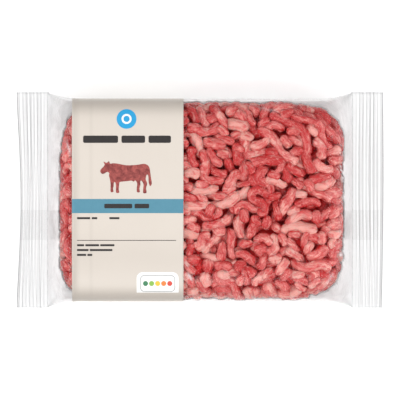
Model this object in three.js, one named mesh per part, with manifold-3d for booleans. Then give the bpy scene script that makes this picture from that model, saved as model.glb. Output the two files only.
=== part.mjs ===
// A flow pack of minced beef, in millimetres. It lies flat with its label up: X runs from end seal to end seal,
// Y across the pack and Z up, with the origin under the middle of the pack, on the face that it rests on.
// The clear film is solid where it stands clear of the meat, at both ends and underneath. Over the top and the long
// sides it clings to the meat, so there the mince itself is the outer surface.
import * as THREE from "three";
import { mergeVertices } from "three/addons/utils/BufferGeometryUtils.js";
import Module from "manifold-3d";

const wasm = await Module();
wasm.setup();

// Driving dimensions
const PACK_LENGTH = 184;
const BODY_WIDTH = 101;
const BODY_HEIGHT = 40.5;
const SEAL_WIDTH = 108;
const SEAL_DEPTH = 15.5; // how far a crimped end seal reaches along X
const SEAL_HEIGHT = 15; // the level at which the two films meet
const STRAND_DIAMETER = 4.7;
const LABEL_FROM = -63.5;
const LABEL_TO = -8.2;
const LABEL_THICKNESS = 0.6;
const SEAM_FROM = -20; // the lapped seam along the underside, in Y
const SEAM_TO = -5;
const GAP = 0.3; // air between neighbouring pieces

// The film's outer form
const SEAL_LINE = PACK_LENGTH / 2 - SEAL_DEPTH;
const SHOULDER = 60; // where the film starts to slope down to the seals
const SECTION_MIDDLE = 19;
const SECTION_POWER = 5;
const SECTION_POINTS = 24;
const SAG = 2; // how far the section would reach below the table, which cuts it off flat
const FILM_HALF = 0.6; // half the thickness of the closed film at a seal
const FLOOR_FILM = 2;
const WINDOW_END = 69; // the film clings to the mince as far as this, from the middle along X
const TUCK_DEPTH = 10; // how deep the sides fold in beside a seal
const SLOPE_STATIONS = [0, 0.2, 0.38, 0.54, 0.68, 0.8, 0.91, 1];

// The end seals' crimp
const RIBS = 6;
const RIB_HEIGHT = 0.35;
const SEAL_STATIONS = 6;
const SEAL_DROOP = 1.4;
const SEAL_WAVE = 0.7;
const SEAL_OVERLAP = 0.8; // how far a seal reaches back into the body
const LEFT_HOLLOW = 2; // how far the outer edges swing in from a straight line
const RIGHT_HOLLOW = 0.5;

// The mince: a rounded block and the strands on it
const MINCE_CENTRE = new THREE.Vector3(0.6, 0, 21);
const MINCE_HALF = new THREE.Vector3(70.5, 49.4, 18.6);
const MINCE_POWER = 6;
const CORE_INSET = 3.7; // the core that shows between the strands
const STRAND_INSET = 2.6; // the strands' centre lines below the block's surface
const STRAND_STEP = 5; // from point to point along a centre line
const STRAND_MOST_STEPS = 9;
const STRAND_LEAST_STEPS = 2;
const STRAND_SPACING = 4.2; // from a strand to one that starts beside it
const STRAND_CLEAR = 3.5; // the least distance between centre lines
const STRAND_TRIES = 14000;
const STRAND_LOWEST = 9;
const FOOT_TOP = 7; // the meat is smooth up to here
const STRAND_BEND = 0.7;
const STRAND_UNEVEN = 1;
const STRAND_BUDGET = 300;
const STRAND_END = 0.72; // how much narrower a strand is at its ends
// Half of a strand's section as shares of its radius, outward and up: a ridge with a blunt top
const STRAND_SIDE = [
  [1, -0.75],
  [0.6, 0.85],
];
const SEED = 20;

const COLOURS = { film: 0xe9ebec, mince: 0xc4555a, label: 0xe6ddd2 };

// Booleans on closed geometry
function solid(geometry) {
  const bare = new THREE.BufferGeometry();
  bare.setAttribute("position", geometry.getAttribute("position"));
  bare.setIndex(geometry.index);
  const merged = mergeVertices(bare, 1e-4);
  return new wasm.Manifold(
    new wasm.Mesh({
      numProp: 3,
      vertProperties: new Float32Array(merged.attributes.position.array),
      triVerts: new Uint32Array(merged.index.array),
    }),
  );
}

function geometryOf(manifold) {
  const mesh = manifold.getMesh();
  const geometry = new THREE.BufferGeometry();
  geometry.setAttribute("position", new THREE.BufferAttribute(mesh.vertProperties, 3));
  geometry.setIndex(new THREE.BufferAttribute(mesh.triVerts, 1));
  geometry.computeVertexNormals();
  return geometry;
}

function largest(manifold) {
  const pieces = manifold.decompose();
  return pieces.reduce((best, piece) => (piece.volume() > best.volume() ? piece : best));
}

function box(low, high) {
  const geometry = new THREE.BoxGeometry(high[0] - low[0], high[1] - low[1], high[2] - low[2]);
  geometry.translate((low[0] + high[0]) / 2, (low[1] + high[1]) / 2, (low[2] + high[2]) / 2);
  return solid(geometry);
}

// A closed skin over rings of points, all with the same number of points and turning the same way
function loft(rings) {
  const count = rings[0].length;
  const points = rings.flat();
  const centres = [rings[0], rings.at(-1)].map((ring) =>
    ring.reduce((sum, p) => sum.add(p), new THREE.Vector3()).divideScalar(count),
  );
  const index = [];
  for (let i = 0; i + 1 < rings.length; i++) {
    for (let j = 0; j < count; j++) {
      const [a, b] = [i * count + j, i * count + ((j + 1) % count)];
      index.push(a, b, a + count, b, b + count, a + count);
    }
  }
  const first = points.length;
  const lastRing = (rings.length - 1) * count;
  for (let j = 0; j < count; j++) {
    const next = (j + 1) % count;
    index.push(first, next, j, first + 1, lastRing + j, lastRing + next);
  }
  const geometry = new THREE.BufferGeometry().setFromPoints([...points, ...centres]);
  geometry.setIndex(index);
  return solid(geometry);
}

// One section across the film at x. The power gives it square shoulders, and the sides fold in beside the seals.
function filmSection(x, inset) {
  const along = Math.max(0, (Math.abs(x) - SHOULDER) / (SEAL_LINE - SHOULDER));
  const middle = THREE.MathUtils.lerp(SECTION_MIDDLE, SEAL_HEIGHT, along ** 2);
  const top = THREE.MathUtils.lerp(BODY_HEIGHT, SEAL_HEIGHT + FILM_HALF / 2, along ** 2.2) - inset;
  const bottom = THREE.MathUtils.lerp(-SAG, SEAL_HEIGHT - FILM_HALF / 2, along ** 2.6) + inset;
  const half = THREE.MathUtils.lerp(BODY_WIDTH, SEAL_WIDTH - 0.5, along ** 1.5) / 2 - inset;
  const tuck = along < 1 ? TUCK_DEPTH * along ** 1.3 : 0;
  const ring = [];
  for (let j = 0; j < SECTION_POINTS; j++) {
    const turn = (2 * Math.PI * j) / SECTION_POINTS;
    const [c, s] = [Math.cos(turn), Math.sin(turn)];
    const reach = s >= 0 ? top - middle : middle - bottom;
    const side = j % (SECTION_POINTS / 2) === 0 ? half - tuck : half;
    const y = side * Math.sign(c) * Math.abs(c) ** (2 / SECTION_POWER);
    const z = middle + reach * Math.sign(s) * Math.abs(s) ** (2 / SECTION_POWER);
    ring.push(new THREE.Vector3(x, y, z));
  }
  return ring;
}

function filmForm(inset = 0) {
  const right = SLOPE_STATIONS.map((t) => THREE.MathUtils.lerp(SHOULDER, SEAL_LINE, t));
  const stations = [...right.map((x) => -x).reverse(), ...right];
  const form = loft(stations.map((x) => filmSection(x, inset)));
  const below = box([-PACK_LENGTH, -SEAL_WIDTH, -BODY_HEIGHT], [PACK_LENGTH, SEAL_WIDTH, inset]);
  return form.subtract(below);
}

// A corrugated strip of film beyond a seal line, with its ribs along Y. side is -1 at the left end and 1 at the right,
// and below and above are where its faces lie from the middle of the seal.
function crimpedStrip(side, from, to, below, above, hem) {
  const rings = [];
  for (let i = 0; i <= SEAL_STATIONS; i++) {
    const y = THREE.MathUtils.lerp(from, to, i / SEAL_STATIONS);
    const v = y / (SEAL_WIDTH / 2);
    const hollow = side < 0 ? LEFT_HOLLOW * (1 - v * v) ** 1.5 : RIGHT_HOLLOW * (v - 0.3) ** 2;
    const outer = PACK_LENGTH / 2 - hollow - hem;
    const wave = SEAL_WAVE * Math.sin(Math.PI * (1.3 * v + 0.3 * side));
    const edge = (offset) =>
      Array.from({ length: 2 * RIBS + 1 }, (_, j) => {
        const u = j / (2 * RIBS);
        const x = side * THREE.MathUtils.lerp(SEAL_LINE - SEAL_OVERLAP, outer, u);
        const rib = j % 2 ? RIB_HEIGHT : 0;
        return new THREE.Vector3(x, y, SEAL_HEIGHT + u * u * (wave - SEAL_DROOP) + rib + offset);
      });
    const [high, low] = [edge(above), edge(below)];
    rings.push(side > 0 ? [...high, ...low.reverse()] : [...low, ...high.reverse()]);
  }
  return loft(rings);
}

function endSeal(side) {
  return crimpedStrip(side, -SEAL_WIDTH / 2, SEAL_WIDTH / 2, -FILM_HALF, FILM_HALF, 0);
}

// The lapped seam's doubled film, where it crosses an end seal
function seamTail(side) {
  return crimpedStrip(side, SEAM_FROM, SEAM_TO, -2 * FILM_HALF, -FILM_HALF / 3, 0.5);
}

// The meat as a box with rounded edges: every point of a divided box is drawn onto |X|^n + |Y|^n + |Z|^n = 1
function onBlock(point, half) {
  const d = point.clone().sub(MINCE_CENTRE);
  const size =
    (Math.abs(d.x / half.x) ** MINCE_POWER +
      Math.abs(d.y / half.y) ** MINCE_POWER +
      Math.abs(d.z / half.z) ** MINCE_POWER) **
    (1 / MINCE_POWER);
  return d.divideScalar(size).add(MINCE_CENTRE);
}

function minceBlock(grow) {
  const half = MINCE_HALF.clone().addScalar(grow);
  const geometry = new THREE.BoxGeometry(2 * half.x, 2 * half.y, 2 * half.z, 10, 8, 4);
  const at = geometry.getAttribute("position");
  for (let i = 0; i < at.count; i++) {
    const p = new THREE.Vector3().fromBufferAttribute(at, i);
    // Sine spacing puts more of the divisions on the rounded edges
    p.set(...["x", "y", "z"].map((k) => half[k] * Math.sin(((p[k] / half[k]) * Math.PI) / 2)));
    p.copy(onBlock(p.add(MINCE_CENTRE), half));
    at.setXYZ(i, p.x, p.y, p.z);
  }
  return solid(geometry);
}

// Seeded random numbers from 0 to 1
function randomFrom(seed) {
  let state = seed;
  return () => {
    state = (state + 0x6d2b79f5) | 0;
    let t = Math.imul(state ^ (state >>> 15), 1 | state);
    t = (t + Math.imul(t ^ (t >>> 7), 61 | t)) ^ t;
    return ((t ^ (t >>> 14)) >>> 0) / 4294967296;
  };
}

// Which way the strands lie at a point: they came out of the mincer in soft bundles that run side by side
function grain(p) {
  const swing = 0.8 * Math.sin(p.x / 15 + 1.1) * Math.cos(p.y / 17) + 0.9 * Math.sin(p.y / 11 - p.x / 31 + p.z / 9);
  return new THREE.Vector3(Math.cos(swing), Math.sin(swing), 0.5 * Math.sin(p.x / 12 + p.z / 8));
}

// The strands' centre lines. Each new one starts beside an earlier one where it can, follows the grain, and stops
// where it would run into another.
function strandPaths() {
  const random = randomFrom(SEED);
  const half = MINCE_HALF.clone().subScalar(STRAND_INSET);
  const taken = [];
  const starts = [];
  const shown = (p) =>
    p.z > STRAND_LOWEST &&
    (p.x > LABEL_TO + 1.5 || p.x < LABEL_FROM - 1.5) &&
    (Math.abs(p.x) < WINDOW_END - 3.5 || p.z > MINCE_CENTRE.z + 8);
  const clear = (p) => taken.every((q) => q.distanceTo(p) > STRAND_CLEAR);
  const outward = (p) => {
    const slope = (k) => {
      const share = (p[k] - MINCE_CENTRE[k]) / half[k];
      return (Math.sign(share) * Math.abs(share) ** (MINCE_POWER - 1)) / half[k];
    };
    return new THREE.Vector3(slope("x"), slope("y"), slope("z")).normalize();
  };
  const onSurface = (p) => onBlock(p, half);
  const anywhere = () => {
    const spread = (k) => (2 * random() - 1) * half[k];
    return onSurface(new THREE.Vector3(spread("x"), spread("y"), spread("z")).add(MINCE_CENTRE));
  };
  const along = (p, sign) => grain(p).projectOnPlane(outward(p)).setLength(sign);
  const creep = (from, sign, most) => {
    const path = [from];
    const bend = (random() - 0.5) * STRAND_BEND;
    while (path.length <= most) {
      const here = path.at(-1);
      const way = along(here, sign).applyAxisAngle(outward(here), bend * Math.sin(path.length));
      const next = onSurface(here.clone().addScaledVector(way, STRAND_STEP));
      const own = path.slice(0, -1).some((q) => q.distanceTo(next) < STRAND_CLEAR);
      if (own || !shown(next) || !clear(next)) break;
      path.push(next);
    }
    return path;
  };
  const paths = [];
  for (let t = 0; t < STRAND_TRIES && paths.length < STRAND_BUDGET; t++) {
    const first = starts.length ? starts.shift() : anywhere();
    if (!shown(first) || !clear(first)) continue;
    const most = STRAND_LEAST_STEPS + Math.floor(random() * (STRAND_MOST_STEPS - STRAND_LEAST_STEPS));
    const onward = creep(first, 1, most);
    const back = creep(first, -1, most - onward.length + 1).slice(1);
    const path = [...back.reverse(), ...onward];
    if (path.length <= STRAND_LEAST_STEPS) continue;
    for (const [i, p] of path.entries()) {
      taken.push(p);
      if (i) taken.push(p.clone().lerp(path[i - 1], 0.5));
      const beside = along(p, 1).cross(outward(p)).multiplyScalar(STRAND_SPACING);
      starts.push(onSurface(p.clone().add(beside)), onSurface(p.clone().sub(beside)));
    }
    // Strands lie at uneven depths in the heap
    const lift = STRAND_UNEVEN * (random() - 0.9);
    paths.push(path.map((p) => p.clone().addScaledVector(outward(p), lift)));
  }
  return paths;
}

// A strand's lower half is lost in the block, so its section is a trapezium
function strand(path) {
  const section = [...STRAND_SIDE, ...STRAND_SIDE.map(([w, h]) => [-w, h]).reverse()];
  const last = path.length - 1;
  const rings = path.map((p, i) => {
    const forward = path[Math.min(i + 1, last)].clone().sub(path[Math.max(i - 1, 0)]).normalize();
    const across = p.clone().sub(MINCE_CENTRE).cross(forward).normalize();
    const up = forward.clone().cross(across);
    const radius = (STRAND_DIAMETER / 2) * (i === 0 || i === last ? STRAND_END : 1);
    return section.map(([w, h]) =>
      p
        .clone()
        .addScaledVector(across, radius * w)
        .addScaledVector(up, radius * h),
    );
  });
  return loft(rings);
}

function minceSolid() {
  const underLabel = box([LABEL_FROM + 1, -SEAL_WIDTH, 0], [LABEL_TO - 1, SEAL_WIDTH, BODY_HEIGHT]);
  const foot = box([-PACK_LENGTH, -SEAL_WIDTH, 0], [PACK_LENGTH, SEAL_WIDTH, FOOT_TOP]);
  // Under the label and on the floor film the meat is pressed smooth, out to the block's own surface
  const pressed = minceBlock(-0.1).intersect(underLabel.add(foot));
  const parts = [minceBlock(-CORE_INSET), pressed];
  for (const path of strandPaths()) parts.push(strand(path));
  // The film presses flat what would stand out of the block
  return wasm.Manifold.union(parts).intersect(minceBlock(0));
}

// The band that the printed label takes up: everything of the pack's length there outside the inset form
function labelSpace(slack, inset) {
  return box(
    [LABEL_FROM - slack, -SEAL_WIDTH, -BODY_HEIGHT],
    [LABEL_TO + slack, SEAL_WIDTH, 2 * BODY_HEIGHT],
  ).subtract(filmForm(inset));
}

function filmSolid(labelRoom) {
  const window = box([-WINDOW_END, -SEAL_WIDTH, FLOOR_FILM], [WINDOW_END, SEAL_WIDTH, 2 * BODY_HEIGHT]);
  const groove = (y) => box([-SEAL_LINE, y - 0.3, -1], [SEAL_LINE, y + 0.3, 0.4]);
  const whole = wasm.Manifold.union([filmForm(), endSeal(-1), endSeal(1), seamTail(-1), seamTail(1)]);
  const cuts = [window, minceBlock(GAP + 0.05), labelRoom, groove(SEAM_FROM), groove(SEAM_TO)];
  return cuts.reduce((left, cut) => left.subtract(cut), whole);
}

const labelRoom = labelSpace(GAP, LABEL_THICKNESS + GAP);
const forms = {
  film: filmSolid(labelRoom),
  mince: minceSolid().subtract(labelRoom),
  label: filmForm().intersect(labelSpace(0, LABEL_THICKNESS)),
};
const finishes = {
  film: { roughness: 0.2, metalness: 0 },
  mince: { roughness: 0.35, metalness: 0 },
  label: { roughness: 0.55, metalness: 0 },
};

const pack = new THREE.Group();
for (const [name, form] of Object.entries(forms)) {
  const material = new THREE.MeshStandardMaterial({ color: COLOURS[name], ...finishes[name] });
  const mesh = new THREE.Mesh(geometryOf(largest(form)), material);
  mesh.name = name;
  pack.add(mesh);
}

export default pack;
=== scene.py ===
"""Looks of the minced beef flow pack: strands of mince, clear film round them, and a printed label band.

Lengths are in millimetres until a mesh is made. X runs along the pack, Y across it and Z up.
"""

import math

import bmesh
import bpy
import numpy as np
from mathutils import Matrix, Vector
from mathutils.kdtree import KDTree


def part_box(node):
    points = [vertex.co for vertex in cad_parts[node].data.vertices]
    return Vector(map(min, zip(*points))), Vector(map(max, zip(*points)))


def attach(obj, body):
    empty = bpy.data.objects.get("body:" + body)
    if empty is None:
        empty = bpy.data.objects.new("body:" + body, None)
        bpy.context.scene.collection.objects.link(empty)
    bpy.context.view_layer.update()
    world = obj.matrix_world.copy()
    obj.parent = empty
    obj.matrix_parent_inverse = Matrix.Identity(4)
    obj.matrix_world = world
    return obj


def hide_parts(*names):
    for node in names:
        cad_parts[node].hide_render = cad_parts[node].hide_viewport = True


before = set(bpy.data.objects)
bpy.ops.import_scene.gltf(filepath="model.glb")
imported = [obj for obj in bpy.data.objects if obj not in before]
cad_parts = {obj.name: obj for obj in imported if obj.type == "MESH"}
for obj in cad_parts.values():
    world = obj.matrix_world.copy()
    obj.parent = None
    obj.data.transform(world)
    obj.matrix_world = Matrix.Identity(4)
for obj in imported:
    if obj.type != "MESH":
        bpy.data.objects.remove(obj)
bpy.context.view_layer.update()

MM = 0.001


def node_box(name):
    low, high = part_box(name)
    return np.array(low) / MM, np.array(high) / MM


FILM_LOW, FILM_HIGH = node_box("film")
LABEL_LOW, LABEL_HIGH = node_box("label")

# The pack's sizes
PACK_LENGTH = FILM_HIGH[0] - FILM_LOW[0]
SEAL_WIDTH = FILM_HIGH[1] - FILM_LOW[1]
BODY_WIDTH = LABEL_HIGH[1] - LABEL_LOW[1]
BODY_HEIGHT = LABEL_HIGH[2]
LABEL_FROM, LABEL_TO = LABEL_LOW[0], LABEL_HIGH[0]

# The film's form
SEAL_DEPTH = 15.5
SEAL_HEIGHT = 15.0
SEAL_LINE = PACK_LENGTH / 2 - SEAL_DEPTH
SHOULDER = 60.0
SECTION_MIDDLE = 19.0
SECTION_POWER = 5
SAG = 2.0
FILM_HALF = 0.3
FILM_LOWEST = 0.12
TUCK_DEPTH = 10.0
TUCK_REACH = 0.42
STATIONS = 250
STATION_POWER = 0.85
ROUND = 360
FOLD_DEPTH = 0.45
DENT_DEPTH = 0.3

# Painted highlights along creases in the upper film: from x, y to x, y, half width and strength
CREASE_GLINTS = (
    (-6.4, -36.0, -3.8, -40.2, 0.7, 0.75),
    (-7.2, -30.0, -6.0, -33.5, 0.6, 0.35),
    (62.0, -42.5, 66.5, -36.0, 0.7, 0.30),
    (30.0, 45.5, 38.5, 44.0, 0.7, 0.25),
    (-66.5, 30.0, -64.0, 22.0, 0.7, 0.30),
)

# Wedges of painted shade at the seals' corners, where the film is tucked in
WEDGE_FROM = np.array([76.0, 53.6])
WEDGE_WAY = np.array([-0.68, -0.73])
WEDGE_LENGTH = 11.0

# The film's haze: over the meat, painted sheen in patches, where it stands empty above and below, and at the
# ends
CLEAR_HAZE = 0.001
PAINTED_SHEEN = 0.006
EMPTY_HAZE = 0.04, 0.10
RIM_HAZE = 0.36, 0.7
END_HAZE = 0.46, 0.85
SEAM_THINNING = 0.22

# The end seals' crimp
RIBS = 4.5
SEAL_STEPS = 108
SEAL_COLUMNS = 73
RIB_HEIGHT = 0.4
GROOVES = (0.16, 0.66)
GROOVE_WIDTH = 0.11
SEAL_DROOP = 1.4
SEAL_WAVE = 0.7
SEAL_OVERLAP = 0.8
SEAL_THICKNESS = 0.3
LEFT_HOLLOW = 2.0
RIGHT_HOLLOW = 0.5

# The back seam
SEAM_FROM, SEAM_TO = -20.0, -5.0
SEAM_STATIONS = 160
SEAM_COLUMNS = 9
SEAL_SEAM_COLUMNS = 11
LAP = 0.12

# The heap of mince
MINCE_CENTRE = np.array([0.8, -0.4, 20.2])
MINCE_HALF = np.array([70.3, 48.3, 19.5])
PLAN_POWER = 8
PROFILE_POWER = 5
CORE_INSET = 10.5
CORE_RISE = 2.8
CORE_CUTS = 47
LOW_RISE = 2.6
END_SLACK = 0.4
END_PRESS = 0.8
SEED = 7

# Strands. A round has candidates, most beads, choices at a time, spill over the block and patience.
STRAND_RADIUS = 2.5
BEAD_STEP = 2.2
BASE_DEPTH = 5.0
CLOSEST = 0.76
SWELL = 1.06
ROUNDS = ((20000, 24, 5, 0.6, 60), (26000, 5, 10, 0.9, 200), (20000, 3, 8, 1.7, 200))
FACE_SHARES = [0.11, 0.23, 0.66]
HIDDEN_MARGIN = 5.0
SIDES = 16
RING_STEP = 0.75
LINE_STEPS = 5
END_SPOTS = np.array([0.0, 0.06, 0.2, 0.42, 0.7, 1.05])
END_REACH = 0.55

# Kinds of meat, each with its share of the strands and how pale it is
MINCE_KINDS = {
    "deep": (0.20, 0.0),
    "lean": (0.25, 0.14),
    "rose": (0.24, 0.28),
    "pink": (0.21, 0.44),
    "fat": (0.10, 0.80),
}

# The label's sheet and the layers of its print
LABEL_OVER = 0.15
LABEL_SHEET = 0.3
LABEL_STATIONS = 60
INK_HEIGHT = 0.06
INK_DEPTH = 0.08
CUT_EVERY = 0.75
SHOULDER_CUTS = (-60.0, -60.8, -61.6, -62.4, -63.0)

# The print's places: bars from left to right and from low to high, patches with their corners' radius too
STRIPE = (-6.5, 0.5)
DISC_AT = (-36.4, 40.2)
DISC_RADII = (4.9, 2.5, 1.5)
TITLE_BARS = ((-57.9, -40.6), (-38.9, -27.2), (-25.5, -14.4))
TITLE_LEVELS = (28.3, 31.9)
STRIPE_BARS = ((-47.4, -33.6), (-32.4, -25.2))
STRIPE_LEVELS = (-4.1, -1.9)
SMALL_BARS = (
    (-9.0, ((-60.9, -54.4), (-53.6, -50.9), (-44.9, -39.9))),
    (-22.4, ((-60.9, -57.4), (-56.8, -50.0), (-49.4, -42.4))),
    (-24.8, ((-60.9, -55.2), (-54.6, -43.4))),
    (-27.2, ((-60.9, -56.4), (-55.8, -53.4))),
)
THIN_LINE = (-60.9, -11.9, -20.15, -19.85)
PATCH = (-31.4, -10.6, -46.6, -35.75, 3.0)
PATCH_RIM = (-29.7, -12.3, -45.6, -37.2, 2.2)
PATCH_INSIDE = (-29.35, -12.65, -45.25, -37.55, 1.9)
DOTS_AT = (-27.0, -41.4)
DOT_STEP = 3.0
DOT_RADIUS = 1.25

# The cow's outline from its nose over the back, and where its lower left corner lies
COW_PLACE = np.array([-49.4, 3.5])
COW = (
    (0.1, 10.3), (0.2, 11.5), (1.5, 12.9), (2.2, 14.1), (1.6, 15.5), (3.1, 14.9), (4.3, 15.7),
    (4.9, 14.5), (6.4, 14.7), (9.2, 14.4), (13.0, 13.7), (18.0, 13.9), (21.6, 14.4), (23.5, 13.7),
    (24.5, 12.0), (25.0, 8.2), (25.5, 4.8), (24.7, 3.4), (24.0, 5.2), (23.8, 8.4), (23.0, 9.0),
    (22.5, 6.8), (23.2, 4.7), (22.7, 2.4), (22.9, 0.1), (21.3, 0.0), (21.3, 2.2), (21.4, 4.4),
    (20.3, 6.2), (19.8, 5.4), (19.9, 4.2), (19.4, 2.2), (19.6, 0.5), (18.2, 0.4), (18.1, 2.4),
    (18.3, 4.6), (17.4, 6.2), (16.5, 5.6), (15.5, 6.1), (13.0, 5.8), (10.0, 5.5), (9.4, 4.9),
    (9.3, 3.4), (9.1, 1.8), (9.4, 0.2), (7.9, 0.1), (7.8, 2.2), (7.7, 4.4), (7.2, 5.4),
    (6.7, 4.9), (6.6, 3.4), (6.3, 2.0), (6.5, 0.6), (5.2, 0.5), (5.1, 2.4), (5.1, 4.6),
    (4.8, 6.8), (4.3, 8.6), (4.5, 9.8), (3.4, 10.4), (2.2, 9.7), (1.0, 9.4),
)

# Meat colours; DEEP_RED is also the painted shade where strands lie deep in the heap
DEEP_RED = (0.57, 0.013, 0.016, 1)
LEAN_RED = (0.49, 0.026, 0.028, 1)
PINK = (0.63, 0.134, 0.124, 1)
FAT = (0.74, 0.345, 0.300, 1)
CORE_DARK = (0.80, 0.014, 0.016, 1)
CORE_LIGHT = (0.88, 0.035, 0.035, 1)

# Film colours
CLEAR = (0.91, 0.91, 0.91, 1)
MILKY = (0.67, 0.672, 0.675, 1)
MILKY_PAINTED_SHADE = (0.44, 0.442, 0.445, 1)
MILKY_THROUGH = (0.70, 0.70, 0.705, 1)
RIB_DARK = (0.68, 0.68, 0.685, 1)
RIB_LIGHT = (0.75, 0.75, 0.75, 1)
GROOVE_SHADE = (0.46, 0.46, 0.465, 1)
EDGE_GREY = (0.30, 0.30, 0.305, 1)

# Label colours
PAPER_DARK = (0.486, 0.438, 0.391, 1)
PAPER_LIGHT = (0.512, 0.464, 0.416, 1)
PAPER_WEAVE = (0.42, 0.372, 0.325, 1)
PAPER_SHADE = (0.315, 0.28, 0.245, 1)
PAPER_EDGE_SHADE = (0.27, 0.241, 0.212, 1)
COW_DARK = (0.13, 0.018, 0.018, 1)
COW_LIGHT = (0.32, 0.07, 0.06, 1)
INKS = {
    "dark": (0.014, 0.011, 0.011, 1),
    "blue": (0.060, 0.182, 0.247, 1),
    "light_blue": (0.006, 0.235, 0.46, 1),
    "white": (0.63, 0.63, 0.62, 1),
    "grey": (0.24, 0.24, 0.24, 1),
}
DOT_INKS = {
    "green": (0.012, 0.13, 0.05, 1),
    "light_green": (0.15, 0.31, 0.03, 1),
    "yellow": (0.60, 0.36, 0.015, 1),
    "orange": (0.55, 0.14, 0.015, 1),
    "red": (0.45, 0.03, 0.015, 1),
}

# The camera, in metres, the lamps with place, size and power, and the sky's brightness by height
CAMERA_HEIGHT = 2.2
PHOTO_SPAN = 0.2
SENSOR_WIDTH = 36
LAMPS = (
    ("front", (0.10, -0.75, 1.55), (1.0, 0.5), 15),
    ("back_left", (-0.5, 0.7, 1.6), (0.6, 0.6), 5),
    ("low_left", (-1.35, 0.1, 0.5), (1.2, 0.5), 10),
    ("low_right", (1.35, -0.1, 0.5), (1.2, 0.5), 10),
)
SKY = ((0.0, 0.30), (0.30, 0.75), (0.92, 0.85), (0.975, 0.08))
SKY_STRENGTH = 1.15
FLOOR_SIZE = 6


def lerp(a, b, t):
    return a + (b - a) * t


def smoothstep(low, high, value):
    """0 at low and 1 at high, whichever is the greater."""
    t = np.clip((value - low) / (high - low), 0, 1)
    return t * t * (3 - 2 * t)


def lengths(vectors):
    return np.linalg.norm(vectors, axis=1, keepdims=True)


def ripple(points, wavelength, seed, waves=10):
    """Smooth seeded noise from about -1 to 1: a sum of sine waves in random directions."""
    random = np.random.default_rng(seed)
    way = random.normal(size=(waves, 3))
    rate = (2 * math.pi / wavelength) * random.uniform(0.7, 1.4, (waves, 1))
    way *= rate / lengths(way)
    phase = random.uniform(0, 2 * math.pi, waves)
    return np.sin(points @ way.T + phase).sum(1) * math.sqrt(2 / waves) * 0.6


# Meshes


def in_scene(name, data):
    """An object of the mesh, lamp or camera, in the scene."""
    piece = bpy.data.objects.new(name, data)
    bpy.context.scene.collection.objects.link(piece)
    return piece


def smooth_object(name, mesh, material):
    """An object of a finished mesh, with smooth shading."""
    mesh.materials.append(material)
    mesh.polygons.foreach_set("use_smooth", [True] * len(mesh.polygons))
    return in_scene(name, mesh)


def mesh_object(name, points, faces, material, attributes=None):
    """An object from points in millimetres, with numbers or vectors kept at its points."""
    mesh = bpy.data.meshes.new(name)
    mesh.from_pydata((np.asarray(points) * MM).tolist(), [], faces)
    for key, values in (attributes or {}).items():
        kind, field = ("FLOAT_VECTOR", "vector") if values.ndim > 1 else ("FLOAT", "value")
        layer = mesh.attributes.new(key, kind, "POINT")
        layer.data.foreach_set(field, values.astype(np.float32).ravel())
    mesh.update()
    return smooth_object(name, mesh, material)


def built_object(name, build, material):
    """An object from a bmesh in metres, which is freed."""
    mesh = bpy.data.meshes.new(name)
    build.to_mesh(mesh)
    build.free()
    return smooth_object(name, mesh, material)


def grid(first, second):
    """All pairs of two rows of numbers, with one row for each of the first."""
    return np.meshgrid(first, second, indexing="ij")


def ring_faces(rings, count, first=0):
    """Quads between rings of count points each."""
    i, j = grid(np.arange(rings - 1), np.arange(count))
    a = first + i * count + j
    b = first + i * count + (j + 1) % count
    return np.stack([a, b, b + count, a + count], -1).reshape(-1, 4)


def sheet(name, middle, thickness, material, groove=None, flip=False):
    """A closed sheet round a grid of points, thickness high in all."""
    rows, columns = middle.shape[:2]
    lift = np.array([0, 0, thickness / 2])
    points = np.vstack([(middle + lift).reshape(-1, 3), (middle - lift).reshape(-1, 3)])
    points[:, 2] = np.maximum(points[:, 2], 0)
    size = rows * columns
    i, j = grid(np.arange(rows - 1), np.arange(columns - 1))
    a = (i * columns + j).ravel()
    tops = np.stack([a, a + columns, a + columns + 1, a + 1], -1)
    edge = np.concatenate([
        np.arange(columns - 1),
        (np.arange(rows - 1) + 1) * columns - 1,
        size - 1 - np.arange(columns - 1),
        (rows - 1 - np.arange(rows - 1)) * columns,
    ])
    following = np.roll(edge, -1)
    walls = np.stack([edge, following, following + size, edge + size], -1)
    faces = np.vstack([tops, tops[:, ::-1] + size, walls])
    if flip:
        faces = faces[:, ::-1]
    attributes = None if groove is None else {"groove": np.tile(groove.ravel(), 2)}
    return mesh_object(name, points, faces.tolist(), material, attributes)


def dress(piece, node):
    """Hangs a piece under the root and hides the part's node that it stands in for, whose material slot has
    the same name.
    """
    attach(piece, "root")
    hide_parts(node)


# Materials


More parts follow.
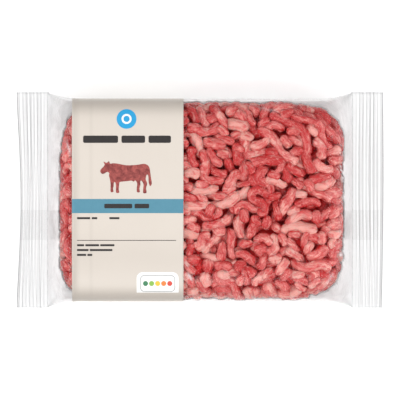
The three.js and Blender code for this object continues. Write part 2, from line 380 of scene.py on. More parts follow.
class Nodes:
    """A material's node tree, with short ways to add and join nodes."""

    def __init__(self, name):
        self.material = bpy.data.materials.new(name)
        self.material.use_nodes = True
        self.tree = self.material.node_tree
        self.tree.nodes.clear()
        self.output = self.add("ShaderNodeOutputMaterial")

    def add(self, kind, inputs=None, **settings):
        node = self.tree.nodes.new(kind)
        for key, value in settings.items():
            setattr(node, key, value)
        for key, value in (inputs or {}).items():
            self.feed(node.inputs[key], value)
        return node

    def feed(self, socket, value):
        if isinstance(value, bpy.types.NodeSocket):
            self.tree.links.new(value, socket)
        else:
            socket.default_value = value

    def math(self, operation, *values, clamp=False):
        inputs = dict(enumerate(values))
        return self.add("ShaderNodeMath", inputs, operation=operation, use_clamp=clamp).outputs[0]

    def line(self, value, times, plus):
        return self.math("ADD", self.math("MULTIPLY", value, times), plus)

    def place(self):
        return self.add("ShaderNodeTexCoord").outputs["Object"]

    def noise(self, scale, detail=3.0, rough=0.5, distortion=0.0, at=None):
        inputs = {"Scale": scale, "Detail": detail, "Roughness": rough, "Distortion": distortion}
        inputs["Vector"] = at or self.place()
        return self.add("ShaderNodeTexNoise", inputs).outputs["Fac"]

    def stretched(self, scale):
        inputs = {"Scale": scale, "Vector": self.place()}
        return self.add("ShaderNodeMapping", inputs).outputs["Vector"]

    def scaled(self, vector, scale):
        return self.add("ShaderNodeVectorMath", {0: vector, 1: scale}, operation="MULTIPLY").outputs[0]

    def between(self, value, low, high):
        inputs = {"Value": value, "From Min": low, "From Max": high}
        return self.add("ShaderNodeMapRange", inputs).outputs["Result"]

    def mix(self, fac, a, b):
        return self.add("ShaderNodeMix", {0: fac, 6: a, 7: b}, data_type="RGBA").outputs[2]

    def stain(self, colour, other, amount, strength):
        return self.mix(self.math("MULTIPLY", amount, strength), colour, other)

    def blend(self, fac, first, second):
        return self.add("ShaderNodeMixShader", {0: fac, 1: first, 2: second}).outputs[0]

    def attribute(self, name, output="Fac"):
        return self.add("ShaderNodeAttribute", attribute_name=name).outputs[output]

    def bump(self, height, strength, distance, normal=None):
        inputs = {"Strength": strength, "Distance": distance * MM, "Height": height}
        if normal:
            inputs["Normal"] = normal
        return self.add("ShaderNodeBump", inputs).outputs["Normal"]

    def principled(self, **sockets):
        inputs = {key.replace("_", " "): value for key, value in sockets.items()}
        return self.add("ShaderNodeBsdfPrincipled", inputs).outputs["BSDF"]

    def finish(self, shader):
        self.feed(self.output.inputs["Surface"], shader)
        return self.material

    def surface(self, **sockets):
        return self.finish(self.principled(**sockets))


def meat_material(kind, pale):
    """Raw mince: red muscle with paler streaks along the strand, flecks of fat and darker blots, with
    painted light that makes crests and the front side paler, and painted shade, a saturated dark red, deep
    in the heap.
    """
    n = Nodes(f"mince_{kind}")
    grain = n.attribute("grain", "Vector")
    along = n.scaled(grain, (0.16, 0.70, 0.70))
    even = n.scaled(grain, (0.34, 0.50, 0.50))
    fibre = n.noise(1.0, 4, 0.62, 0.8, along)
    blotch = n.noise(1.0, 5, 0.62, 0.6, even)
    marble = n.noise(2.0, 4, 0.7, 1.6, along)
    # The tone carries painted light besides the meat's own tone: paler on crests and towards the front side
    tone = n.attribute("tone")
    deep = n.attribute("deep")
    share = n.line(blotch, 2.4, n.math("MULTIPLY", tone, 0.5))
    share = n.line(fibre, 1.1, share)
    share = n.math("ADD", share, pale - 2.05)
    colour = n.mix(n.between(share, 0.0, 0.42), LEAN_RED, PINK)
    colour = n.mix(n.between(share, 0.48, 0.90), colour, FAT)
    colour = n.stain(colour, FAT, n.between(marble, 0.54, 0.62), 0.6)
    colour = n.stain(colour, DEEP_RED, n.between(fibre, 0.48, 0.34), 0.45)
    # Painted shade: a saturated dark red where strands lie deep in the heap
    colour = n.stain(colour, DEEP_RED, deep, 0.88)
    normal = n.bump(n.noise(1.0, 3, 0.6, 0.6, n.scaled(grain, (0.7, 0.9, 0.9))), 0.6, 1.0)
    normal = n.bump(n.noise(2.2, 4, 0.6, 0.6, along), 0.7, 0.6, normal)
    normal = n.bump(n.noise(2200, 3, 0.6), 0.3, 0.10, normal)
    return n.surface(
        Base_Color=colour,
        Roughness=n.line(blotch, 0.30, 0.10),
        Normal=normal,
        Specular_IOR_Level=0.4,
        Subsurface_Weight=0.5,
        Subsurface_Radius=(1.0, 0.16, 0.13),
        Subsurface_Scale=1.5 * MM,
    )


def core_material():
    """The meat deep in the gaps between the strands."""
    n = Nodes("mince_core")
    colour = n.mix(n.noise(300, 4), CORE_DARK, CORE_LIGHT)
    normal = n.bump(n.noise(420, 4), 0.5, 0.6)
    return n.surface(Base_Color=colour, Roughness=0.5, Specular_IOR_Level=0.15, Normal=normal)


def film_material():
    """Clear film: see-through, milky where it has haze, with gloss that grows at a slant, and darker in
    painted shade at the corner wedges.
    """
    n = Nodes("clear_film")
    haze = n.attribute("haze")
    cloud = n.between(n.noise(60, 4, 0.55, 0.4), 0.35, 0.75)
    crinkle = n.noise(170, 4, 0.6, 1.2)
    fine = n.noise(520, 3, 0.6, 0.8)
    normal = n.bump(crinkle, 0.35, 1.0)
    normal = n.bump(fine, 0.15, 0.3, normal)
    facing = n.add("ShaderNodeLayerWeight", {"Blend": 0.5, "Normal": normal}).outputs["Facing"]
    # The way through the film is longer at a slant, and its gloss is stronger
    way_through = n.math("DIVIDE", 1.0, n.math("SUBTRACT", 1.08, facing))
    cover = n.math("MULTIPLY", haze, n.line(cloud, 0.5, 0.75))
    cover = n.math("MULTIPLY", cover, way_through, clamp=True)
    clear = n.add("ShaderNodeBsdfTransparent", {"Color": CLEAR}).outputs[0]
    # Painted shade: the milky film is darker in the wedges at the seals' corners
    tint = n.stain(MILKY, MILKY_PAINTED_SHADE, n.attribute("painted_tuck_shade"), 0.9)
    plastic = n.principled(Base_Color=tint, Roughness=0.4, Normal=normal, Specular_IOR_Level=0.3)
    through = n.add("ShaderNodeBsdfTranslucent", {"Color": MILKY_THROUGH}).outputs[0]
    milky = n.blend(cover, clear, n.blend(0.2, plastic, through))
    gloss = n.add("ShaderNodeBsdfGlossy", {"Roughness": 0.13, "Normal": normal}).outputs[0]
    shine = n.line(n.math("POWER", facing, 5.0), 0.96, 0.006)
    return n.finish(n.blend(shine, milky, gloss))


def stiff_film(n, grain, colour, fineness, cover):
    return n.surface(
        Base_Color=colour,
        Roughness=n.line(grain, 0.2, 0.22),
        Normal=n.bump(n.noise(fineness, 3), 0.2, 0.1),
        Specular_IOR_Level=0.6,
        Alpha=cover,
    )


def seal_material():
    """Crimped film: white ridges, painted shade in the grooves and a darker outer edge."""
    n = Nodes("crimped_film")
    grain = n.noise(400, 4, 0.6)
    groove = n.attribute("groove")
    colour = n.mix(grain, RIB_DARK, RIB_LIGHT)
    # Painted shade: grey where the crimp's grooves are deep
    colour = n.mix(n.between(groove, 0.0, 1.0), colour, GROOVE_SHADE)
    colour = n.mix(n.between(groove, 1.0, 2.0), colour, EDGE_GREY)
    return stiff_film(n, grain, colour, 900, 0.88)


def lap_material(name, low, high, cover):
    """Doubled film, a grey between low and high."""
    n = Nodes(name)
    grain = n.noise(300, 4, 0.6)
    colour = n.mix(grain, (low, low, low, 1), (high, high, high, 1))
    return stiff_film(n, grain, colour, 700, cover)


def paper_material():
    """The label's warm beige print, with a faint weave and painted shade where the film bends down."""
    n = Nodes("label_print")
    cloud = n.noise(45, 3, 0.5)
    weave = n.noise(1, 2, 0.5, 0.0, n.stretched((2400, 500, 2400)))
    colour = n.mix(cloud, PAPER_DARK, PAPER_LIGHT)
    colour = n.stain(colour, PAPER_WEAVE, weave, 0.10)
    run = n.add("ShaderNodeSeparateXYZ", {0: n.place()}).outputs[0]
    start = LABEL_FROM * MM
    # Painted shade along the label's outer edge, and a soft line of painted shade further in
    edge = n.between(run, start + 4.4 * MM, start + 1.2 * MM)
    colour = n.stain(colour, PAPER_SHADE, edge, 0.45)
    rise = n.between(run, start + 8.0 * MM, start + 9.5 * MM)
    fall = n.between(run, start + 11.0 * MM, start + 9.5 * MM)
    painted_shade_line = n.math("MINIMUM", rise, fall)
    colour = n.stain(colour, PAPER_SHADE, painted_shade_line, 0.14)
    # Painted shade where the label curves down to its long edges, and a little towards its front side
    colour = n.stain(colour, PAPER_EDGE_SHADE, n.attribute("fold"), 0.7)
    return n.surface(
        Base_Color=colour,
        Roughness=n.line(cloud, 0.15, 0.36),
        Specular_IOR_Level=0.35,
        Normal=n.bump(weave, 0.12, 0.08),
    )


def ink(n, colour, rough):
    normal = n.bump(n.noise(1500, 2), 0.1, 0.04)
    return n.surface(Base_Color=colour, Roughness=rough, Specular_IOR_Level=0.35, Normal=normal)


def ink_material(name, colour):
    """Printed ink with slightly uneven cover."""
    n = Nodes(f"ink_{name}")
    wash = n.noise(500, 3, 0.6)
    light = tuple(min(1.0, c * 1.1 + 0.004) for c in colour[:3]) + (1,)
    return ink(n, n.mix(wash, colour, light), n.line(wash, 0.1, 0.37))


def cow_material():
    """Printed cow: dark red ink with uneven cover."""
    n = Nodes("ink_cow")
    wash = n.between(n.noise(420, 4, 0.65, 0.8), 0.35, 0.65)
    return ink(n, n.mix(wash, COW_DARK, COW_LIGHT), 0.42)


def floor_material():
    """The white ground that the pack lies on."""
    n = Nodes("floor")
    colour = n.mix(n.noise(6, 3, 0.5), (0.98, 0.98, 0.98, 1), (0.99, 0.99, 0.99, 1))
    return n.surface(Base_Color=colour, Roughness=0.7)


# The film's form


def film_levels(x):
    """Top, bottom, middle and half width of the film's section at x."""
    along = np.clip((np.abs(x) - SHOULDER) / (SEAL_LINE - SHOULDER), 0, 1)
    top = lerp(BODY_HEIGHT, SEAL_HEIGHT + FILM_HALF, along**2.2)
    bottom = lerp(-SAG, SEAL_HEIGHT - FILM_HALF, along**2.6)
    middle = lerp(SECTION_MIDDLE, SEAL_HEIGHT, along**2)
    half = lerp(BODY_WIDTH, SEAL_WIDTH - 0.2, along**1.8) / 2
    return along, top, bottom, middle, half


def film_point(x, turn, inset=0.0, lowest=FILM_LOWEST):
    """The film at x and at an angle round the pack, with its corners tucked in towards the seals."""
    along, top, bottom, middle, half = film_levels(x)
    c, s = np.cos(turn), np.sin(turn)
    spread = (np.abs(c) ** SECTION_POWER + np.abs(s) ** SECTION_POWER) ** (-1 / SECTION_POWER)
    reach = np.where(s >= 0, top - middle, middle - bottom) - inset
    rise = s * spread
    y = (half - inset) * c * spread
    fold = np.clip(1 - np.abs(rise) / TUCK_REACH, 0, 1)
    y = y - np.sign(c) * TUCK_DEPTH * along**1.3 * fold
    z = np.maximum(middle + reach * rise, lowest)
    return np.stack([x * np.ones_like(y), y, z], -1)


def film_height(x, y, way):
    """The film's upper surface above a point, or its lower one where way is -1, without tucks."""
    _, top, bottom, middle, half = film_levels(x)
    share = np.clip(np.abs(y) / half, 0, 1) ** SECTION_POWER
    reach = top - middle if way > 0 else bottom - middle
    return middle + reach * (1 - share) ** (1 / SECTION_POWER)


def flattened_ends(points):
    """Points past the heap's ends, pressed back as the film presses them."""
    reach = points[:, 0] - MINCE_CENTRE[0]
    over = np.maximum(np.abs(reach) - MINCE_HALF[0] - END_SLACK, 0)
    out = points.copy()
    out[:, 0] -= END_PRESS * over * np.sign(reach)
    return out


def keep_inside(points, inset):
    """Presses points that stand out of the film back to just under it."""
    _, top, bottom, middle, half = film_levels(points[:, 0])
    y, z = points[:, 1], points[:, 2] - middle
    reach = np.where(z >= 0, top - middle, middle - bottom) - inset
    sideways = np.abs(y / (half - inset)) ** SECTION_POWER
    upwards = np.abs(z / reach) ** SECTION_POWER
    scale = 1 / np.maximum((sideways + upwards) ** (1 / SECTION_POWER), 1)
    out = points.copy()
    out[:, 1] = y * scale
    out[:, 2] = np.maximum(z * scale + middle, 0.35)
    return out


# The mince: strands laid one by one over a block, each on those that lie there already


def plan_measure(points):
    """1 on the heap's outline seen from above, and more outside it."""
    q = np.abs(points - MINCE_CENTRE)[:, :2] / MINCE_HALF[:2]
    return (q**PLAN_POWER).sum(1) ** (1 / PLAN_POWER)


def block_measure(points, less=0.0):
    """1 on the block's surface, with its half sizes less by that much, and below 1 inside it."""
    half = MINCE_HALF - less
    uneven = 1 - 0.02 * ripple(points, 30, SEED + 90)[:, None] * np.array([0.8, 0.8, 0.0])
    q = np.abs(points - MINCE_CENTRE) / (half * uneven)
    plan = (q[:, 0] ** PLAN_POWER + q[:, 1] ** PLAN_POWER) ** (PROFILE_POWER / PLAN_POWER)
    return (plan + q[:, 2] ** PROFILE_POWER) ** (1 / PROFILE_POWER)


def block_slope(points, less=0.0):
    """The measure at points and its gradient."""
    step = 0.05
    at = block_measure(points, less)
    slope = np.stack([(block_measure(points + step * axis, less) - at) / step for axis in np.eye(3)], -1)
    return at, slope


def onto_block(points, less):
    """Moves points onto the surface of the block made smaller by less."""
    out = points
    for _ in range(2):
        at, slope = block_slope(out, less)
        out = out - slope * ((at - 1) / np.maximum((slope**2).sum(1), 1e-9))[:, None]
    return out


def grain_way(points):
    """Which way the strands lie: soft bundles that run side by side and swing round."""
    x, y, z = points.T
    swing = 0.75 * np.sin(x / 15 + 1.1) * np.cos(y / 17) + 0.85 * np.sin(y / 12 - x / 31 + z / 9)
    return np.stack([np.cos(swing), np.sin(swing), 0.5 * np.sin(x / 12 + z / 8)], -1)


def shows(points):
    """Whether the label leaves points in view."""
    x = points[:, 0]
    return (x > LABEL_TO - HIDDEN_MARGIN) | (x < LABEL_FROM + HIDDEN_MARGIN)


def walks(random, count, longest):
    """Candidate strands: walks over the block at the base depth, longer in the upper half of the pack."""
    spread = random.uniform(-1, 1, (count * 3, 3)) * MINCE_HALF
    face = random.choice(3, count * 3, p=FACE_SHARES)
    each = np.arange(count * 3)
    spread[each, face] = np.sign(spread[each, face]) * MINCE_HALF[face]
    at = onto_block(onto_block(spread * 0.97 + MINCE_CENTRE, BASE_DEPTH), BASE_DEPTH)
    at = at[shows(at)][:count]
    count = len(at)
    upper = smoothstep(-25, 20, at[:, 1])
    length = np.round(lerp(3, 6, upper) + random.gamma(2.2, lerp(1.5, 3.2, upper))).astype(int)
    length = np.clip(length, 3, longest)
    turn = random.normal(0, lerp(0.9, 0.5, upper))
    bend = random.normal(0, 0.34, count)
    phase = random.uniform(0, 2 * math.pi, count)
    way = grain_way(at) * random.choice([-1, 1], count)[:, None]
    places, outward = [at], []
    for step in range(length.max()):
        at = places[-1]
        _, slope = block_slope(at, BASE_DEPTH)
        out = slope / lengths(slope)
        outward.append(out)
        flow = grain_way(at)
        flow *= np.sign((flow * way).sum(1))[:, None]
        way = 0.75 * way + 0.25 * flow
        sway = bend * np.sin(0.6 * step + phase)
        angle = (turn if step == 0 else 0) + sway + random.normal(0, 0.16, count)
        side = np.cross(out, way)
        way = way * np.cos(angle)[:, None] + side * np.sin(angle)[:, None]
        way -= out * (way * out).sum(1)[:, None]
        way /= np.maximum(lengths(way), 1e-6)
        places.append(onto_block(at + way * BEAD_STEP, BASE_DEPTH))
    places, outward = np.stack(places[:-1], 1), np.stack(outward, 1)
    lines = []
    for i in range(count):
        keep = shows(places[i, : length[i]])
        if keep.sum() > 2:
            lines.append((places[i, : length[i]][keep], outward[i, : length[i]][keep]))
    return lines


def resting_height(places, outward, radius, beads, sizes):
    """How far out along its own direction each bead must go to rest on the beads already laid."""
    lowest = np.full(len(places), BASE_DEPTH - CORE_INSET + 0.3 * radius)
    low, high = places.min(0) - 9, places.max(0) + 9
    near = ((beads > low) & (beads < high)).all(1)
    beads, sizes = beads[near], sizes[near]
    if not len(beads):
        return lowest
    gap = beads[None] - places[:, None]
    along = (gap * outward[:, None]).sum(-1)
    beside = (gap**2).sum(-1) - along**2
    touch = ((radius + sizes) * CLOSEST) ** 2
    height = np.where(beside < touch, along + np.sqrt(np.maximum(touch - beside, 0)), -99)
    return np.maximum(lowest, height.max(1))


def drape(height):
    """A strand is stiff: it bridges gaps, sags a little between its supports, and its ends droop."""
    held = height.copy()
    for _ in range(7):
        held[1:-1] = np.maximum(held[1:-1], (held[:-2] + held[2:]) / 2 - 0.25)
        held[0] = max(held[0], held[1] - 1.7)
        held[-1] = max(held[-1], held[-2] - 1.7)
    soft = held.copy()
    soft[1:-1] = (held[:-2] + 2 * held[1:-1] + held[2:]) / 4
    return soft


def lay_strands(random):
    """Lays strands one by one, each in the lowest place of several, so that they cross over and under.

    Long strands come first. Short bits and ends then fill the hollows that are left.
    """
    beads = np.empty((0, 3))
    sizes = np.empty(0)
    strands = []
    for count, longest, choices, spill, patience in ROUNDS:
        lines = walks(random, count, longest)
        refused = 0
        following = 0
        while following + choices <= len(lines) and refused < patience:
            best = None
            radius = STRAND_RADIUS * float(np.clip(random.normal(1, 0.08), 0.8, 1.2))
            for places, outward in lines[following : following + choices]:
                height = drape(resting_height(places, outward, radius, beads, sizes))
                if best is None or height.mean() < best[0]:
                    best = (height.mean(), height, places, outward)
            following += choices
            _, height, places, outward = best
            limit = BASE_DEPTH - 0.93 * radius
            if np.maximum(height - limit, 0).mean() > spill or height.max() > limit + 4 * spill:
                refused += 1
                continue
            refused = 0
            laid = places + outward * np.minimum(height, limit)[:, None]
            beads = np.vstack([beads, laid])
            sizes = np.concatenate([sizes, np.full(len(laid), radius)])
            strands.append((laid, radius))
    return strands


def curve_steps(p0, p1, p2, p3, parts):
    """Smooth curves from each p1 to its p2, in parts steps, which run on towards p0 and p3."""
    t = (np.arange(parts) / parts)[None, :, None]
    p0, p1, p2, p3 = (p[:, None, :] for p in (p0, p1, p2, p3))
    second = 2 * p0 - 5 * p1 + 4 * p2 - p3
    third = 3 * p1 - p0 - 3 * p2 + p3
    return 0.5 * (2 * p1 + (p2 - p0) * t + second * t**2 + third * t**3)


def smooth_line(points, parts):
    """A curve through points, with parts steps between each two."""
    ends = np.vstack([2 * points[0] - points[1], points, 2 * points[-1] - points[-2]])
    line = curve_steps(ends[:-3], ends[1:-2], ends[2:-1], ends[3:], parts)
    return np.vstack([line.reshape(-1, 3), points[-1]])


def running_length(line):
    """How far along a line each of its points lies."""
    return np.concatenate([[0], np.cumsum(np.linalg.norm(np.diff(line, axis=0), axis=1))])


def evened_line(beads, radius):
    """The curve through a strand's beads, run on at both ends, with points closer together near the ends."""
    first, last = beads[0] - beads[1], beads[-1] - beads[-2]
    first *= END_REACH * radius / np.linalg.norm(first)
    last *= END_REACH * radius / np.linalg.norm(last)
    line = smooth_line(np.vstack([beads[0] + first, beads, beads[-1] + last]), LINE_STEPS)
    span = running_length(line)
    ends = END_SPOTS * min(radius, span[-1] / 2.5)
    middle = span[-1] - 2 * ends[-1]
    parts = max(2, round(middle / RING_STEP))
    spots = np.concatenate([ends, ends[-1] + middle * np.arange(1, parts) / parts, span[-1] - ends[::-1]])
    return np.stack([np.interp(spots, span, line[:, i]) for i in range(3)], -1)


def strand_tube(line, radius, random):
    """A tube round line with rounded ends: its points, their outward directions and their grain."""
    count = len(line)
    forward = np.gradient(line, axis=0)
    forward /= lengths(forward)
    side = np.cross(forward[0], [0.3, 0.5, 0.8])
    across = np.empty_like(line)
    for i in range(count):
        side = side - forward[i] * side.dot(forward[i])
        side /= np.linalg.norm(side)
        across[i] = side
    up = np.cross(forward, across)
    span = running_length(line)
    size = radius * (1 + 0.13 * np.sin(span / random.uniform(2.2, 4.5) + random.uniform(0, 6)))
    blunt = random.uniform(0.6, 1.15, 2) * min(radius, span[-1] / 2.5)
    for near, reach in ((span, blunt[0]), (span[-1] - span, blunt[1])):
        size *= np.sqrt(np.clip(1 - (1 - np.clip(near / reach, 0, 1)) ** 2, 0.04, 1))
    turn = 2 * math.pi * np.arange(SIDES) / SIDES
    lean = random.uniform(0, math.pi) + span * random.normal(0, 0.12)
    oval = 1 + random.uniform(0.04, 0.16) * np.cos(2 * (turn[None, :] - lean[:, None]))
    sideways = across[:, None, :] * np.cos(turn)[None, :, None]
    upwards = up[:, None, :] * np.sin(turn)[None, :, None]
    out = sideways + upwards
    points = line[:, None, :] + out * (size[:, None] * oval)[..., None]
    tips = np.stack([line[0] - forward[0] * size[0] * 0.2, line[-1] + forward[-1] * size[-1] * 0.2])
    ways = np.stack([-forward[0], forward[-1]])
    grain = np.empty((count, SIDES, 3))
    grain[..., 0] = span[:, None]
    grain[..., 1] = radius * np.cos(turn)
    grain[..., 2] = radius * np.sin(turn)
    ends = [[0, 0, 0], [span[-1], 0, 0]]
    grain = np.vstack([grain.reshape(-1, 3), ends]) + random.uniform(-400, 400, 3)
    return np.vstack([points.reshape(-1, 3), tips]), np.vstack([out.reshape(-1, 3), ways]), grain


def tube_faces(rings, first):
    """Quads round a strand and a fan of triangles at each end."""
    low = first + rings * SIDES
    last = low - SIDES
    sides = [(a, (a + 1) % SIDES) for a in range(SIDES)]
    starts = [(low, first + b, first + a) for a, b in sides]
    ends = [(low + 1, last + a, last + b) for a, b in sides]
    return [tuple(q) for q in ring_faces(rings, SIDES, first).tolist()] + starts + ends


def mince_pieces():
    """The strands, one piece for each tone of meat. Returns all their points."""
    random = np.random.default_rng(SEED)
    kinds = list(MINCE_KINDS)
    shares = [share for share, _ in MINCE_KINDS.values()]
    made = {k: {"points": [], "faces": [], "tone": [], "deep": [], "grain": [], "count": 0} for k in kinds}
    for line, radius in lay_strands(random):
        own = made[kinds[random.choice(len(kinds), p=shares)]]
        line = evened_line(line, radius * SWELL)
        points, ways, grain = strand_tube(line, radius * SWELL, random)
        lump = 0.30 * ripple(points, 5.0, SEED + 1) + 0.24 * ripple(points, 2.8, SEED + 2)
        lump += 0.12 * ripple(points, 1.6, SEED + 4)
        points = points + ways * lump[:, None]
        _, slope = block_slope(points)
        crest = (ways * slope).sum(1) / np.linalg.norm(slope, axis=1)
        # Painted light: the tone is made paler on the strands' crests, which face out of the heap, and
        # towards the pack's front (low Y) side
        painted_crest_light = smoothstep(-0.2, 1.0, crest)
        painted_front_light = smoothstep(5, -30, points[:, 1])
        own["points"].append(points)
        own["faces"] += tube_faces(len(line), own["count"])
        tone = random.uniform(0, 1) + 0.5 * ripple(points, 11, SEED + 3)
        own["tone"].append(tone + 0.9 * painted_crest_light - 0.6 + 0.5 * painted_front_light)
        # Painted shade: how deep below the heap's surface the points lie
        own["deep"].append(smoothstep(1.4, 6.5, depth_below(points)))
        own["grain"].append(grain)
        own["count"] += len(points)
    everything = []
    for kind, own in made.items():
        points = flattened_ends(np.vstack(own["points"]))
        points = keep_inside(points, 0.35 + 0.7 * smoothstep(0.1, 0.4, film_levels(points[:, 0])[0]))
        attributes = {key: np.concatenate(own[key]) for key in ("tone", "deep", "grain")}
        material = meat_material(kind, MINCE_KINDS[kind][1])
        dress(mesh_object(f"mince_{kind}", points, own["faces"], material, attributes), "mince")
        everything.append(points)
    return np.vstack(everything)


def depth_below(points):
    """Roughly how far points lie below the block's surface."""
    at, slope = block_slope(points)
    return (1 - at) / np.maximum(np.linalg.norm(slope, axis=1), 1e-3)


def mince_core():
    """The dark inside of the heap, which shows only through the gaps between strands."""
    build = bmesh.new()
    bmesh.ops.create_cube(build, size=2)
    bmesh.ops.subdivide_edges(build, edges=build.edges, cuts=CORE_CUTS, use_grid_fill=True)
    inset = CORE_INSET - CORE_RISE
    at = np.array([v.co for v in build.verts]) * (MINCE_HALF - inset) * 0.98 + MINCE_CENTRE
    at = onto_block(onto_block(at, inset), inset)
    _, slope = block_slope(at, inset)
    bumps = 0.5 * ripple(at, 9, SEED + 5) + 0.5 * ripple(at, 5, SEED + 6)
    bumps += LOW_RISE * smoothstep(-8, -30, at[:, 1])
    at = at + bumps[:, None] * slope / lengths(slope)
    for vertex, place in zip(build.verts, at * MM):
        vertex.co = place
    dress(built_object("mince_core", build, core_material()), "mince")


# The film bag


def plan_gap(points, others):
    """How far each point is, seen from above, from the nearest of the others."""
    tree = KDTree(len(others))
    for i, (x, y) in enumerate(others[:, :2].tolist()):
        tree.insert((x, y, 0), i)
    tree.balance()
    return np.array([tree.find((x, y, 0))[2] for x, y in points[:, :2].tolist()])


def painted_crease_glints(points):
    """Painted highlights: short milky lines that stand for glints on creases in the film, 0 to about 1."""
    out = np.zeros(len(points))
    for x0, y0, x1, y1, width, strength in CREASE_GLINTS:
        start, way = np.array([x0, y0]), np.array([x1 - x0, y1 - y0])
        length = np.linalg.norm(way)
        way = way / length
        offset = points[:, :2] - start
        share = offset @ way / length
        beside = offset @ np.array([-way[1], way[0]])
        fade = smoothstep(-0.15, 0.35, share) * smoothstep(1.15, 0.65, share)
        out = np.maximum(out, strength * fade * np.exp(-((beside / width) ** 2)))
    return out


def painted_corner_shade(points):
    """Painted shade: soft darker wedges that run from the seals' corners in over the empty film."""
    offset = np.abs(points[:, :2]) - WEDGE_FROM
    run = offset @ WEDGE_WAY
    beside = offset @ np.array([WEDGE_WAY[1], -WEDGE_WAY[0]])
    share = np.clip(run / WEDGE_LENGTH, 0, 1)
    return (1 - share) * np.exp(-((beside / (0.6 + 1.6 * share)) ** 2)) * (run > -1)


def film_folds(points, along):
    """Folds that run out of the seals and die away towards the body, and shallow dents."""
    folds = np.sin(points[:, 1] * 0.55 + 2.2 * ripple(points * [0.4, 1, 0.3], 30, SEED + 11))
    folds = folds * np.sin(math.pi * along) * FOLD_DEPTH
    return folds + DENT_DEPTH * ripple(points, 14, SEED + 12) * (0.3 + along) * (1 - along) * 1.6


def film_haze(points, mince):
    """How milky the film is: hardly over the meat, and more where it stands clear of it, with painted sheen
    in patches and painted glints along creases.
    """
    along, _, _, middle, _ = film_levels(points[:, 0])
    y, z = points[:, 1], points[:, 2]
    lower = smoothstep(1.0, -2.0, z - middle)
    ends = smoothstep(0.0, 0.2, along)
    outline = plan_measure(points)
    edge = mince[plan_measure(mince) > 0.82]
    outer = outline > 0.86
    empty = np.zeros(len(points))
    empty[outer] = smoothstep(0.12, 0.46, plan_gap(points[outer], edge))
    above = empty * (1 - lower)
    below = smoothstep(0.86, 0.91, outline) * lower
    rim = RIM_HAZE[0] * smoothstep(22, 30, z) * above
    rim += RIM_HAZE[1] * smoothstep(10, 5, z) * below
    # Painted sheen in soft patches over the film, and painted glints along creases in its upper side
    painted_sheen_and_glints = PAINTED_SHEEN * smoothstep(0.6, 1.3, ripple(points, 26, SEED + 13))
    painted_sheen_and_glints += painted_crease_glints(points) * (1 - lower)
    seam = smoothstep(SEAM_FROM - 0.4, SEAM_FROM + 0.4, y)
    seam *= smoothstep(SEAM_TO + 0.4, SEAM_TO - 0.4, y)
    sides = EMPTY_HAZE[0] * above + EMPTY_HAZE[1] * below + rim
    cover = END_HAZE[0] * above * (1 - SEAM_THINNING * seam) + END_HAZE[1] * below
    return CLEAR_HAZE + painted_sheen_and_glints + lerp(sides, cover, ends)


def film_bag(mince):
    """The clear bag between the seals, over the points of the mince."""
    shape = np.linspace(-1, 1, STATIONS)
    x = SEAL_LINE * np.sign(shape) * np.abs(shape) ** STATION_POWER
    turn = 2 * math.pi * np.arange(ROUND) / ROUND
    points = film_point(*grid(x, turn)).reshape(-1, 3)
    along, _, _, middle, _ = film_levels(points[:, 0])
    inward = -np.abs(film_folds(points, along)) * np.sign(points[:, 2] - middle)
    resting = points[:, 2] < FILM_LOWEST + 0.03
    points[:, 2] += np.where(resting, 0, inward)
    points[:, 2] = np.maximum(points[:, 2], FILM_LOWEST)
    first = tuple(range(ROUND))
    last = tuple(range((STATIONS - 1) * ROUND, STATIONS * ROUND))
    faces = [tuple(q) for q in ring_faces(STATIONS, ROUND).tolist()] + [first[::-1], last]
    attributes = {"haze": film_haze(points, mince), "painted_tuck_shade": painted_corner_shade(points)}
    dress(mesh_object("film_bag", points, faces, film_material(), attributes), "film")


# The crimped end seals


def seal_surface(side, u, y):
    """The middle of a seal's film, where u goes from the seal line to the outer edge."""
    v = y / (SEAL_WIDTH / 2)
    hollow = LEFT_HOLLOW * (1 - v * v) ** 1.5 if side < 0 else RIGHT_HOLLOW * (v - 0.3) ** 2
    outer = PACK_LENGTH / 2 - hollow
    x = side * lerp(SEAL_LINE - SEAL_OVERLAP, outer, u)
    wave = SEAL_WAVE * np.sin(math.pi * (1.3 * v + 0.3 * side))
    bend = 0.06 * np.sin(2.3 * v + side) * np.sin(math.pi * u)
    inner = smoothstep(0.0, 0.06, u) * smoothstep(0.0, 0.04, 1 - u)
    z = SEAL_HEIGHT + u * u * (wave - SEAL_DROOP) - RIB_HEIGHT * inner * crimp(u + bend, v)
    return np.stack([x, y, z], -1)


def crimp(u, v):
    """How deep the crimp's grooves are, 0 to about 1: pairs of lines with a broad ridge after each pair."""
    phase = (u * RIBS) % 1
    pair = np.floor(u * RIBS)
    deep = 0
    for i, place in enumerate(GROOVES):
        strength = 0.78 + 0.22 * np.sin(2.3 * pair + 2.9 * i + 1.2 * v)
        deep = deep + strength * np.exp(-(((phase - place) / GROOVE_WIDTH) ** 2))
    between = 0.30 * np.exp(-(((phase - sum(GROOVES) / 2) / 0.2) ** 2))
    return np.maximum(deep, between) * (0.35 + 0.65 * smoothstep(0.1, 0.28, u))


def end_seal(side):
    half = SEAL_WIDTH / 2
    u, y = grid(np.linspace(0, 1, SEAL_STEPS + 1), np.linspace(-half, half, SEAL_COLUMNS))
    middle = seal_surface(side, u, y)
    # Crimp depth for the painted shade in the grooves, and more for the darker outer edge
    groove = crimp(u, y / half) + 1.6 * smoothstep(0.955, 0.985, u)
    name = "end_seal_left" if side < 0 else "end_seal_right"
    dress(sheet(name, middle, SEAL_THICKNESS, seal_material(), groove, flip=side < 0), "film")


# The lapped back seam: a doubled strip of film along the underside that runs out through both seals


